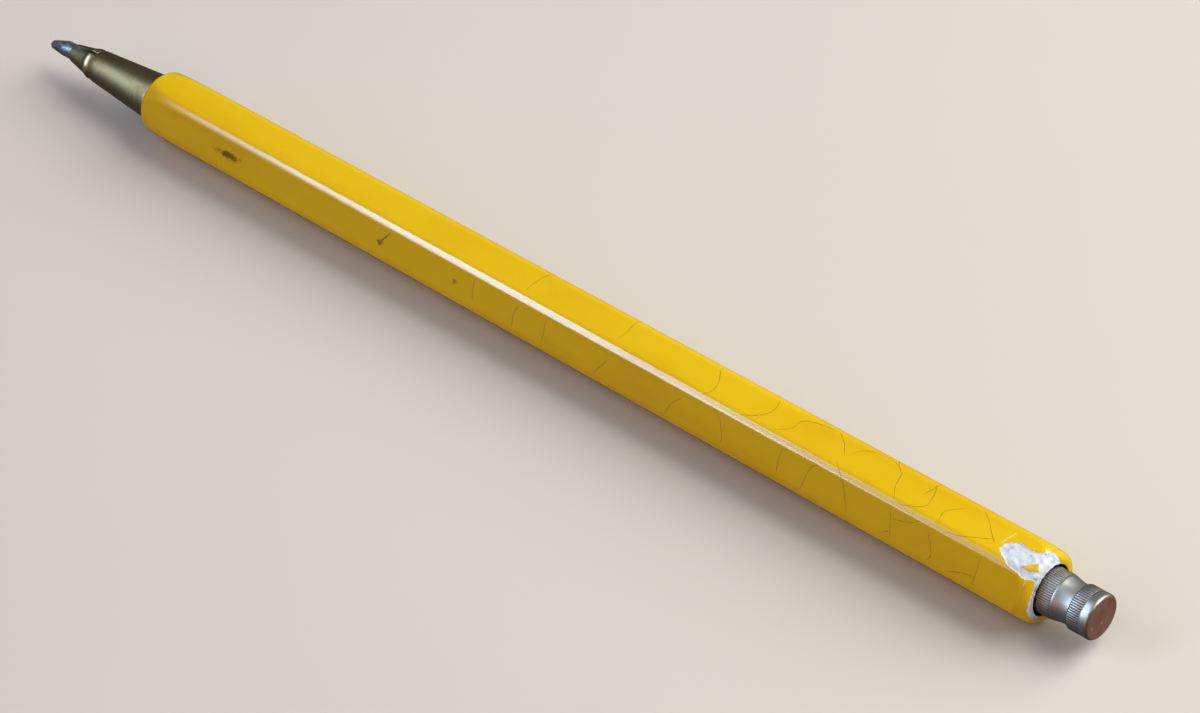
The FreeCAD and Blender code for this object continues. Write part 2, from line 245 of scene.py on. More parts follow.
# ---- Hexagon with rounded edges ------------------------------------------
def section(around, corner):
    """Point and outward normal of the hexagon's section, as arrays.

    around is the distance round the section from the middle of the top flat, towards -Y.
    """
    around = np.asarray(around, float)
    straight = FLAT / math.sqrt(3) - corner * math.tan(math.radians(30))
    side = 2 * straight + corner * math.radians(60)
    face = np.floor((around + straight) / side)
    along = around + straight - face * side
    turned = np.maximum(along - 2 * straight, 0) / corner
    base = np.radians(90 + 60 * face)
    normal = base + turned
    flat_shift = np.minimum(along, 2 * straight) - straight
    y = (FLAT - corner) * np.cos(base) - flat_shift * np.sin(base) + corner * np.cos(normal)
    z = (FLAT - corner) * np.sin(base) + flat_shift * np.cos(base) + corner * np.sin(normal)
    return y, z, np.cos(normal), np.sin(normal)


def girth(corner):
    """Distance all the way round the section."""
    straight = FLAT / math.sqrt(3) - corner * math.tan(math.radians(30))
    return 6 * (2 * straight + corner * math.radians(60))


def soft_min(a, b, flow):
    """The lower of a and b, blended where they are closer than flow."""
    h = np.clip(1 - np.abs(a - b) / flow, 0, 1)
    return np.minimum(a, b) - h * h * flow / 4


LIP_DEPTH = 0.13    # thickness of the lip round the mouth
LIP_ROUND = 0.06    # eased inner edge of that lip
MOUTH_FLAT = 0.16    # reach of the flat ring round the mouth beyond the bore
OUTER_EDGE = 0.28    # the mouth's outer edge lies this far ahead of its plane
UNTURNED = 9.0    # a limiting radius beyond the corners, where the ends are not turned
FINE = 0.08    # spacing of the barrel's rows near the chip
HIDDEN_CRACKS = 30    # hairline cracks on the faces behind and below
CRACK_STEP = 0.16    # spacing of the points along a crack
# Section of a crack's ribbon, as (share of its half width, rise above the lacquer).
CRACK_SECTION = ((-1, -0.02), (-1, 0.0015), (0, 0.004), (1, 0.0015), (1, -0.02))
SKIN = 0.006    # the lacquer stays this far inside the casing's outline, to leave room for its cracks


def shoulders(barrel):
    """Outlines of the turned ends: the front one, then the rear one, both from the bore outwards."""
    bore = barrel.bore / MM
    turn = barrel.shoulder / MM
    front_fade = barrel.front_fade / MM
    rear_fade = barrel.rear_fade / MM
    clear = FLAT + 0.47
    front = outline(
        (CASING_FRONT, bore),
        (CASING_FRONT, bore + 0.06),
        (CASING_FRONT + 0.29 * turn, FLAT - 0.24 * turn, CASING_FRONT + turn, FLAT + 0.02),
        (CASING_FRONT + 0.45 * front_fade, FLAT + 0.22, CASING_FRONT + front_fade, clear),
        arc=12,
    )
    lip = barrel.opening / MM
    rear = outline(
        (MOUTH - LIP_DEPTH, bore),
        (MOUTH - LIP_DEPTH, lip),
        (MOUTH - LIP_ROUND, lip),
        (MOUTH - 0.3 * LIP_ROUND, lip + 0.3 * LIP_ROUND, MOUTH, lip + LIP_ROUND),
        (MOUTH, bore + MOUTH_FLAT),
        (MOUTH - 0.26 * turn, FLAT - 0.23 * turn, MOUTH - turn, FLAT + 0.02),
        (MOUTH - 0.62 * rear_fade, FLAT + 0.26, MOUTH - rear_fade, clear),
        arc=12,
    )
    return front, rear


def surface_point(x, around, barrel, rise=0.0):
    """A point on the lacquer at a station and a distance round, lifted by rise."""
    y, z, ny, nz = section(around, barrel.corner / MM)
    front, rear = shoulders(barrel)
    front_x, front_r = zip(*front[1:])
    rear_x, rear_r = zip(*[(x, r) for x, r in rear[:0:-1] if r > barrel.bore / MM])
    front_limit = np.interp(x, front_x, front_r, right=UNTURNED)
    rear_limit = np.interp(x, rear_x, rear_r, left=UNTURNED)
    limit = np.minimum(front_limit, rear_limit)
    radius = np.hypot(y, z)
    shrink = soft_min(radius, limit, barrel.flow / MM) / radius
    lift = rise - SKIN
    return (float(x), float(y * shrink + lift * ny), float(AXIS + z * shrink + lift * nz))


# ---- Lacquered barrel ----------------------------------------------------
# The chip at the rear, as distances (from the mouth's outer edge, round from the top's middle).
CHIP = [
    (-0.2, -1.95), (0.85, -1.85), (1.4, -1.75), (1.8, -1.42), (1.4, -1.0), (2.15, -0.58),
    (3.15, -0.42), (4.3, -0.62), (4.9, -0.17), (5.35, 0.35), (5.5, 1.0), (5.2, 1.35),
    (4.3, 1.92), (3.6, 2.3), (2.5, 2.46), (1.75, 2.75), (1.3, 2.67), (0.8, 2.35), (-0.2, 2.4),
]
CHIP_ISLAND = [(2.45, 1.75), (1.75, 0.98), (1.15, 0.45), (0.7, 1.2), (1.35, 1.6)]
CHIP_LIP = [(5.75, 0.4), (5.6, -0.4), (5.35, -1.2)]
# Width of the bare rim round the mouth, against the distance round.
BARE_RIM = [(-2.9, -1.0), (-2.6, 0.0), (-1.9, 0.9), (2.3, 0.6), (3.0, 0.24), (4.4, 0.2), (5.4, 0.36),
            (6.4, 0.5), (8.0, 0.35), (9.6, 0.0), (9.9, -1.0)]


def ripple(a, b, pitch):
    """A smooth uneven pattern between about -1 and 1, for ragged edges."""
    a = a * 2 * math.pi / pitch
    b = b * 2 * math.pi / pitch
    return (np.sin(a + 1.7 * np.sin(b * 0.83 + 0.4)) + np.sin(1.31 * b + 1.3 * np.sin(0.71 * a + 2.1))) / 2


def inside(a, b, corners):
    """Distance inside a closed outline, negative outside, for arrays of points."""
    nearest = np.full(a.shape, 1e9)
    within = np.zeros(a.shape, bool)
    for (a0, b0), (a1, b1) in zip(corners, corners[1:] + corners[:1]):
        t = np.clip(((a - a0) * (a1 - a0) + (b - b0) * (b1 - b0)) / ((a1 - a0) ** 2 + (b1 - b0) ** 2), 0, 1)
        nearest = np.minimum(nearest, np.hypot(a - a0 - t * (a1 - a0), b - b0 - t * (b1 - b0)))
        crosses = (b0 > b) != (b1 > b)
        slope = (a1 - a0) / (b1 - b0 if b1 != b0 else 1e-9)
        within ^= crosses & (a < a0 + slope * (b - b0))
    return np.where(within, nearest, -nearest)


def near_line(a, b, points):
    """Distance from a line of points."""
    nearest = np.full(a.shape, 1e9)
    for (a0, b0), (a1, b1) in zip(points, points[1:]):
        t = np.clip(((a - a0) * (a1 - a0) + (b - b0) * (b1 - b0)) / ((a1 - a0) ** 2 + (b1 - b0) ** 2), 0, 1)
        nearest = np.minimum(nearest, np.hypot(a - a0 - t * (a1 - a0), b - b0 - t * (b1 - b0)))
    return nearest


def smooth_step(value, low, high):
    t = np.clip((value - low) / (high - low), 0, 1)
    return t * t * (3 - 2 * t)


def barrel_rows(barrel):
    """Stations and limiting radii from the front bore edge to the rear one, finest at the chip."""
    front, rear = shoulders(barrel)
    chip_reach = 7.0
    plain_start = CASING_FRONT + barrel.front_fade / MM
    chip_start = MOUTH - chip_reach
    rows = finer(front, 0.25, closed=False)
    plain = np.linspace(plain_start, chip_start, 70)[1:]
    rows += [(x, UNTURNED) for x in plain]
    fade_start = MOUTH - barrel.rear_fade / MM
    rows += [(x, UNTURNED) for x in np.arange(chip_start + FINE, fade_start, FINE)]
    return rows + finer(rear[::-1], FINE, closed=False)


def lacquered_barrel(barrel):
    """The casing's lacquered surface, with the bare chip and rim sunk into it."""
    segments = 312
    corner = barrel.corner / MM
    around = np.linspace(0, girth(corner), segments, endpoint=False) - girth(corner) / 2
    y, z, _, _ = section(around, corner)
    reach = np.hypot(y, z)
    rows = np.array(barrel_rows(barrel))
    limit = rows[:, 1][:, None]
    shrink = soft_min(reach[None, :], limit, barrel.flow / MM) / reach[None, :]
    points = np.stack([np.repeat(rows[:, :1], segments, 1), y * shrink, z * shrink], axis=-1)

    middle = segments // 2
    steps = np.linalg.norm(np.diff(points[:, middle], axis=0), axis=1)
    from_end = np.concatenate([np.cumsum(steps[::-1])[::-1], [0]])
    edge = np.argmin(np.hypot(rows[:, 0] - MOUTH, rows[:, 1] - barrel.bore / MM - MOUTH_FLAT))
    a = np.repeat(from_end[:, None] - from_end[edge] + 0.06, segments, 1)
    b = np.repeat(around[None, :], len(rows), 0)
    ragged = 0.05 * ripple(a, b, 0.9) + 0.03 * ripple(b, a, 0.37)
    rim_at, rim_width = zip(*BARE_RIM)
    rim = np.interp(b, rim_at, rim_width) - a
    bare = np.maximum(inside(a, b, CHIP), rim + 0.4 * ragged) + ragged
    bare = np.minimum(bare, -inside(a, b, CHIP_ISLAND) - 0.3 * ragged)
    ground = smooth_step(bare, -0.05, 0.05)
    lip = smooth_step(-near_line(a, b, CHIP_LIP), -0.16, -0.04)

    along = np.gradient(points, axis=0)
    across = np.roll(points, -1, 1) - np.roll(points, 1, 1)
    normal = np.cross(across, along)
    normal /= np.maximum(np.linalg.norm(normal, axis=-1, keepdims=True), 1e-9)
    outward = points[..., 1] * normal[..., 1] + points[..., 2] * normal[..., 2]
    normal *= np.where(outward.sum() > 0, 1, -1)
    uneven = 1 + 0.25 * ripple(a, b, 1.3)
    sink = smooth_step(bare, -0.04, 0.09) * uneven * barrel.coat / MM
    sink += SKIN + 0.03 * smooth_step(-near_line(a - 0.22, b, CHIP_LIP), -0.12, 0)
    points = points - normal * sink[..., None]
    points[..., 2] += AXIS

    faces = []
    count = len(rows)
    for i in range(count):
        j = (i + 1) % count
        for k in range(segments):
            m = (k + 1) % segments
            faces.append((i * segments + k, j * segments + k, j * segments + m, i * segments + m))
    obj = new_object("lacquered_barrel", points.reshape(-1, 3).tolist(), faces)
    for name, values in (("ground", ground), ("lip", lip)):
        layer = obj.data.attributes.new(name, "FLOAT", "POINT")
        layer.data.foreach_set("value", values.reshape(-1).astype(np.float32))
    return obj


# ---- Cracks in the lacquer -----------------------------------------------
# Hairline cracks on the top and front faces, as (distance ahead of the mouth, distance round).
SEEN_CRACKS = [
    [(43.6, -1.9), (42.6, -0.3), (42.3, 1.2), (42.8, 2.0)],
    [(35.5, -1.9), (35.1, -0.9), (35.3, 0.2), (36.2, 1.2), (37.6, 2.0)],
    [(27.5, -1.9), (29.8, -1.6), (31.6, -0.9), (32.0, 0.6), (33.8, 1.9)],
    [(27.5, -1.9), (26.1, -0.9), (25.0, 0.4)],
    [(25.4, 1.1), (24.2, 2.2), (23.3, 3.2), (22.1, 6.2)],
    [(24.7, 0.1), (23.9, -1.2), (22.3, -1.8), (20.4, -1.7), (18.9, -0.9), (18.2, 0.8), (17.1, 2.2)],
    [(17.1, 2.1), (15.9, 2.0), (14.1, 1.0), (14.2, -0.4), (14.9, -1.9)],
    [(10.4, -1.3), (12.1, 0.4), (11.8, 2.0)],
    [(9.1, -2.0), (7.5, -0.9), (5.9, 0.5), (5.3, 1.0)],
    [(5.9, 0.5), (7.1, 1.2), (8.9, 2.0), (10.5, 2.3)],
    [(31.3, 2.7), (31.5, 4.5), (31.4, 6.2)],
    [(26.5, 2.5), (27.6, 3.5), (28.2, 6.2)],
    [(17.2, 3.0), (16.8, 4.7), (16.4, 6.2)],
    [(16.7, 5.3), (17.9, 5.9)],
    [(16.8, 3.9), (14.8, 3.3), (13.4, 2.5)],
    [(12.5, 3.0), (11.5, 5.2), (12.0, 6.2)],
    [(5.9, 2.8), (6.0, 5.1), (6.05, 6.2)],
    [(6.0, 5.1), (7.7, 5.4), (9.6, 6.2)],
    [(45.0, 3.4), (46.2, 4.7), (46.8, 6.2)],
    [(41.2, 2.5), (39.8, 3.4), (39.3, 4.4), (39.0, 5.5), (39.5, 6.2)],
    [(55.5, 3.7), (56.2, 4.8), (57.1, 6.1)],
    [(68.7, 3.1), (69.3, 4.3), (69.3, 6.0)],
    [(64.8, 3.1), (64.8, 5.8)],
    [(75.7, 3.0), (75.4, 5.6)],
]
# One heavier crack, with its wider end last.
OPEN_CRACK = [(88.8, 2.9), (89.4, 3.7), (90.2, 4.7), (90.4, 5.2)]


def flowing(points, step):
    """A smooth curve through the points, sampled about every step."""
    points = [np.array(p, float) for p in points]
    points = [2 * points[0] - points[1]] + points + [2 * points[-1] - points[-2]]
    curve = []
    for p0, p1, p2, p3 in zip(points, points[1:], points[2:], points[3:]):
        pieces = max(2, int(np.linalg.norm(p2 - p1) / step))
        for k in range(pieces):
            t = k / pieces
            curve.append(0.5 * (2 * p1 + (p2 - p0) * t + (2 * p0 - 5 * p1 + 4 * p2 - p3) * t ** 2
                                + (3 * p1 - p0 - 3 * p2 + p3) * t ** 3))
    return curve + [points[-2]]


def hidden_cracks(barrel):
    """Cracks like the seen ones, at random on the faces behind and below."""
    rng = np.random.default_rng(barrel.seed)
    whole = girth(barrel.corner / MM)
    cracks = []
    for number in range(HIDDEN_CRACKS):
        ahead = rng.uniform(4, 62 if number % 3 else 120)
        around = rng.uniform(6.2, whole - 2.6)
        lean = rng.uniform(-1.4, 1.4)
        bow = rng.uniform(-0.9, 0.9)
        height = rng.uniform(1.2, 4.2)
        crack = []
        for t in (0, 0.35, 0.7, 1):
            arch = bow * (1 - 4 * (t - 0.5) ** 2)
            crack.append((ahead + lean * t + arch, around + height * t))
        cracks.append(crack)
    return cracks


def craze_ribbons(name, cracks, width, barrel, rng, swell=0.0):
    """Fine dark ribbons that lie on the lacquer along the cracks, pointed at both ends."""
    vertices = []
    faces = []
    count = len(CRACK_SECTION)
    for crack in cracks:
        line = flowing(crack, CRACK_STEP)
        wander = np.cumsum(rng.normal(0, 0.012, (len(line), 2)), axis=0)
        first = len(vertices)
        for i, here in enumerate(line):
            ahead = line[min(i + 1, len(line) - 1)] - line[max(i - 1, 0)]
            ahead /= np.linalg.norm(ahead)
            t = i / (len(line) - 1)
            half = width / 2 * (min(1, 7 * t, 7 * (1 - t)) + 0.12) * (1 + swell * t) * rng.uniform(0.7, 1.2)
            middle = here + wander[i] * min(1, 4 * t, 4 * (1 - t))
            side = np.array([-ahead[1], ahead[0]]) * half
            for shift, rise in CRACK_SECTION:
                back, around = middle + shift * side
                vertices.append(surface_point(MOUTH - OUTER_EDGE - back, around, barrel, rise))
        for i in range(len(line) - 1):
            here = first + i * count
            for k in range(count):
                m = (k + 1) % count
                faces.append((here + k, here + m, here + count + m, here + count + k))
        faces.append(tuple(first + k for k in range(count)))
        faces.append(tuple(len(vertices) - count + k for k in range(count)))
    return new_object(name, vertices, faces)


# ---- Nose cone, jaws and lead --------------------------------------------
def cone_outline():
    """The nose cone's outline, with its stepped bore and its screwed shank."""
    rear = CASING_FRONT - 0.02
    step = CONE_FRONT + 7.5
    return outline(
        (CONE_FRONT, 1.75),
        (CONE_FRONT, 1.95),
        (CONE_FRONT + 0.03, 2.02, CONE_FRONT + 0.1, 2.06),
        (rear - 0.12, 2.95),
        (rear - 0.03, 2.92, rear, 2.83),
        (rear, 2.03),
        (rear + 0.8, 2.03),
        (rear + 1.05, 2.28),
        (SHANK_END - 0.2, 2.28),
        (SHANK_END, 2.08),
        (SHANK_END, 2.0),
        (step, 2.0),
        (step - 0.4, 1.75),
        arc=4,
    )


def jaw_outline():
    """Half section of a jaw: a conical head with a rounded shoulder, on a thin leg."""
    grip = 1.03
    return outline(
        (JAW_TIP, grip),
        (JAW_TIP, 1.08),
        (JAW_TIP + 0.03, 1.13, JAW_TIP + 0.1, 1.17),
        (CONE_FRONT - 1.45, 1.77),
        (CONE_FRONT - 0.85, 1.985, CONE_FRONT - 0.25, 1.89),
        (CONE_FRONT, 1.72),
        (CONE_FRONT + 0.48, 1.4),
        (JAW_ROOT, 1.4),
        (JAW_ROOT, 1.1),
        (CONE_FRONT + 0.48, 1.1),
        (CONE_FRONT + 0.1, grip),
        arc=8,
    )


def jaw(name, middle, slot):
    """One jaw: the sector of the turned outline between two saw cuts, with softened cut edges."""
    points = finer(jaw_outline(), 0.6)
    steps = 26
    count = len(points)
    vertices = []
    for k in range(steps + 1):
        share = 2 * k / steps - 1
        for x, radius in points:
            half = math.radians(60) - math.asin(slot / 2 / radius)
            vertices.append(on_ring(x, radius, middle + share * half))
    faces = [tuple(range(count)), tuple(range(len(vertices) - count, len(vertices)))]
    for k in range(steps):
        for i in range(count):
            j = (i + 1) % count
            faces.append((k * count + i, k * count + j, (k + 1) * count + j, (k + 1) * count + i))
    obj = new_object(name, vertices, faces)
    soften(obj, 0.035)
    return obj


def soften(obj, width):
    """Round the sharp edges of a piece by width, in millimetres."""
    bevel = obj.modifiers.new("soften", "BEVEL")
    bevel.width = width * MM
    bevel.segments = 2
    bevel.limit_method = "ANGLE"
    bevel.angle_limit = math.radians(40)
    bevel.use_clamp_overlap = True
    settle(obj)


def settle(obj):
    """Turn a piece with modifiers into a plain mesh and drop the modifiers."""
    evaluated = obj.evaluated_get(bpy.context.evaluated_depsgraph_get())
    mesh = bpy.data.meshes.new_from_object(evaluated)
    obj.modifiers.clear()
    obj.data = mesh


def lead_piece():
    """The lead, blunt and slightly faceted where it has been written with."""
    points = finer(outline(
        (LEAD_TIP, 0.0),
        (LEAD_TIP + 0.02, 0.2),
        (LEAD_TIP + 0.11, 0.38, LEAD_TIP + 0.36, 0.55),
        (LEAD_TIP + 2.3, 0.96),
        (LEAD_TIP + 2.45, 0.985, LEAD_TIP + 2.7, 1.0),
        (LEAD_END - 0.1, 1.0),
        (LEAD_END, 0.9),
        (LEAD_END, 0.0),
        arc=5,
    ), 0.25)
    points = [p for p in points if p[0] < LEAD_TIP + 6 or p[0] > LEAD_END - 0.3]
    obj = lathe("graphite_lead", points, 96)
    worn = Vector((-0.75, -0.35, 0.56)).normalized()
    middle = Vector((LEAD_TIP, 0, AXIS))
    for vertex in obj.data.vertices:
        here = vertex.co / MM - middle
        lean = max(0.0, 1 - here.x / 2.7)
        vertex.co += Vector((0, -0.28, -0.18)) * lean * MM
        over = here.dot(worn) - 0.30
        if over > 0:
            vertex.co -= worn * over * 0.8 * MM
    return obj


# ---- Rear end ------------------------------------------------------------
def tooth_mesh(name, long, high, wide):
    """A knurl tooth: a ridge along X standing on +Y, with sloped ends and a worn crest."""
    slope = min(0.12, long / 4)
    sunk = -0.06
    profile = [(-wide / 2, sunk), (-wide / 2, 0.0), (-wide * 0.13, high), (wide * 0.13, high),
               (wide / 2, 0.0), (wide / 2, sunk)]
    vertices = []
    for x, share in ((0.0, 0.0), (slope, 1.0), (long - slope, 1.0), (long, 0.0)):
        vertices += [(x, y if y < 0 else y * share, z) for z, y in profile]
    faces = [tuple(range(6)), tuple(range(18, 24))]
    for i in range(3):
        for k in range(6):
            m = (k + 1) % 6
            faces.append((i * 6 + k, i * 6 + m, i * 6 + 6 + m, i * 6 + 6 + k))
    return new_object(name, vertices, faces)


def add(tree, kind, inputs=None, **settings):
    """Add a node with its settings.

    Each input takes a value, a socket, or a node, which stands for its first live output.
    """
    made = tree.nodes.new(kind)
    for name, value in settings.items():
        setattr(made, name, value)
    for key, given in (inputs or {}).items():
        if isinstance(given, bpy.types.Node):
            given = next(output for output in given.outputs if output.enabled)
        if isinstance(given, bpy.types.NodeSocket):
            tree.links.new(given, made.inputs[key])
        else:
            made.inputs[key].default_value = given
    return made


def knurl_tree():
    """Geometry Nodes: a tooth set round the pencil's axis."""
    tree = bpy.data.node_groups.new("knurl_band", "GeometryNodeTree")
    keys = {}
    for label, kind in (("Tooth", "Object"), ("Teeth", "Int"), ("Radius", "Float"),
                        ("Station", "Float"), ("Height", "Float"), ("Finish", "Material")):
        socket = tree.interface.new_socket(label, in_out="INPUT", socket_type="NodeSocket" + kind)
        keys[label] = socket.identifier
    tree.interface.new_socket("Geometry", in_out="OUTPUT", socket_type="NodeSocketGeometry")
    given = add(tree, "NodeGroupInput").outputs
    index = add(tree, "GeometryNodeInputIndex")
    share = add(tree, "ShaderNodeMath", {0: index, 1: given["Teeth"]}, operation="DIVIDE")
    angle = add(tree, "ShaderNodeMath", {0: share, 1: 2 * math.pi}, operation="MULTIPLY")
    cosine = add(tree, "ShaderNodeMath", {0: angle}, operation="COSINE")
    sine = add(tree, "ShaderNodeMath", {0: angle}, operation="SINE")
    y = add(tree, "ShaderNodeMath", {0: cosine, 1: given["Radius"]}, operation="MULTIPLY")
    z = add(tree, "ShaderNodeMath", {0: sine, 1: given["Radius"], 2: given["Height"]},
            operation="MULTIPLY_ADD")
    place = add(tree, "ShaderNodeCombineXYZ", {0: given["Station"], 1: y, 2: z})
    turn = add(tree, "ShaderNodeCombineXYZ", {0: angle})
    turned = add(tree, "FunctionNodeEulerToRotation", {0: turn})
    points = add(tree, "GeometryNodePoints", {"Count": given["Teeth"], "Position": place})
    tooth = add(tree, "GeometryNodeObjectInfo", {"Object": given["Tooth"]}).outputs["Geometry"]
    placed = add(tree, "GeometryNodeInstanceOnPoints",
                 {"Points": points, "Instance": tooth, "Rotation": turned})
    real = add(tree, "GeometryNodeRealizeInstances", {0: placed})
    painted = add(tree, "GeometryNodeSetMaterial", {"Geometry": real, "Material": given["Finish"]})
    add(tree, "NodeGroupOutput", {0: painted})
    return tree, keys


def knurl_band(name, start, long, root, metal, finish):
    """A knurled band made by the node tree, as a plain mesh."""
    pitch = 2 * math.pi * root / metal.teeth
    tooth = tooth_mesh(name + "_tooth", long, metal.tooth / MM, pitch * 0.92)
    tree, keys = knurl_tree()
    obj = bpy.data.objects.new(name, bpy.data.meshes.new(name))
    bpy.context.scene.collection.objects.link(obj)
    band = obj.modifiers.new("knurl", "NODES")
    band.node_group = tree
    values = {"Tooth": tooth, "Teeth": metal.teeth, "Radius": root * MM,
              "Station": start * MM, "Height": AXIS * MM, "Finish": finish}
    for label, value in values.items():
        band[keys[label]] = value
    settle(obj)
    bpy.data.objects.remove(tooth)
    return obj


ROUND = 160    # segments round a turned metal piece
PER_TURN = 28    # points along one turn of the spring
KNURL_CREST = 2.48
BUTTON_CREST = 2.46
BUTTON_FRONT = BUTTON_FACE - 2.58
NECK_START = BUTTON_FRONT - 1.94
BAND_START = NECK_START - 4.48


def sleeve_outline(tooth):
    """The sleeve's outline: hidden skirt, knurled band cut to its root, and the waisted neck."""
    root = KNURL_CREST - tooth
    end = SLEEVE_REAR
    return outline(
        (SLEEVE_FRONT, 1.52),
        (SLEEVE_FRONT, 2.0),
        (SLEEVE_FRONT + 0.2, 2.2),
        (BAND_START, 2.2),
        (BAND_START + 0.2, root),
        (NECK_START - 0.1, root),
        (NECK_START, 2.42),
        (NECK_START + 0.12, 2.43),
        (NECK_START + 0.95, 2.26, end - 0.05, 2.2),
        (end, 2.15),
        (end, 1.63),
        (SLEEVE_FRONT + 7.0, 1.63),
        (SLEEVE_FRONT + 7.0, 1.15),
        (SLEEVE_FRONT + 6.0, 1.15),
        (SLEEVE_FRONT + 6.0, 1.52),
        arc=12,
    )


def button_outline(tooth):
    """The button's outline: hollow spigot with the ring groove, knurled head, rounded rim."""
    root = BUTTON_CREST - tooth
    face = BUTTON_FACE
    groove = SPIGOT_FRONT + 2.0
    return outline(
        (SPIGOT_FRONT, 1.27),
        (SPIGOT_FRONT, 1.5),
        (SPIGOT_FRONT + 0.1, 1.6),
        (groove, 1.6),
        (groove, 1.46),
        (groove + 0.54, 1.46),
        (groove + 0.54, 1.6),
        (BUTTON_FRONT, 1.6),
        (BUTTON_FRONT, 2.3),
        (BUTTON_FRONT + 0.07, root),
        (BUTTON_FRONT + 1.4, root),
        (BUTTON_FRONT + 1.5, 2.43),
        (BUTTON_FRONT + 1.58, 2.455),
        (face - 0.3, 2.455),
        (face - 0.09, 2.37, face, 2.16),
        (face - 0.015, 2.05),
        (face - 0.03, 0.0),
        (SPIGOT_FRONT + 8.0, 0.0),
        (SPIGOT_FRONT + 7.5, 1.27),
        arc=7,
    )


def spring_path(wire, turns):
    """The spring's centre line, with closed coils at both ends."""
    mean = 2.1
    dead = 1.1
    start = SPRING_FRONT + wire / 2 + 0.02
    reach = SPRING_REAR - SPRING_FRONT - wire - 0.04
    closed = dead * wire * 1.03
    whole = turns + 2 * dead
    path = []
    for k in range(int(whole * PER_TURN) + 1):
        turn = k / PER_TURN
        near = min(turn, whole - turn)
        if near < dead:
            shift = closed * near / dead
            x = shift if turn < dead else reach - shift
        else:
            x = closed + (reach - 2 * closed) * (turn - dead) / turns
        path.append(on_ring(start + x, mean, 2 * math.pi * turn))
    return path


# ---- Materials -----------------------------------------------------------
SMOOTH = "SMOOTHSTEP"


def bare_material(name):
    """A new material, its empty node tree, and its Object coordinates in millimetres."""
    material = bpy.data.materials.new(name)
    material.use_nodes = True
    tree = material.node_tree
    tree.nodes.clear()
    place = add(tree, "ShaderNodeTexCoord").outputs["Object"]
    coords = add(tree, "ShaderNodeVectorMath", {0: place, "Scale": 1 / MM}, operation="SCALE")
    return material, tree, coords


def blot(tree, coords, centre, radii, ragged, strength):
    """A soft mark on the surface: strength at its centre, with an edge made ragged by noise."""
    away = add(tree, "ShaderNodeVectorMath", {0: coords, 1: centre}, operation="SUBTRACT")
    shaped = add(tree, "ShaderNodeVectorMath", {0: away, 1: radii}, operation="DIVIDE")
    reach = add(tree, "ShaderNodeVectorMath", {0: shaped}, operation="LENGTH")
    torn = add(tree, "ShaderNodeMapRange", {0: ragged, 1: 0.3, 2: 0.7, 3: -0.45, 4: 0.45})
    edge = add(tree, "ShaderNodeMath", {0: reach, 1: torn}, operation="ADD")
    return add(tree, "ShaderNodeMapRange", {0: edge, 1: 0.35, 2: 1.15, 3: strength, 4: 0.0},
               interpolation_type=SMOOTH)


# Marks on the front face: distances ahead of the mouth and round, radii, strength and colour.
MARKS = (
    (117.2, 4.45, (1.6, 0.35, 0.35), 0.35, "#8A5A10"),
    (115.6, 4.45, (1.7, 0.5, 0.5), 0.8, "#5E3412"),
    (90.2, 4.75, (0.5, 0.35, 0.45), 0.7, "#6A4A10"),
    (78.4, 4.5, (0.45, 0.35, 0.4), 0.75, "#B4684C"),
)


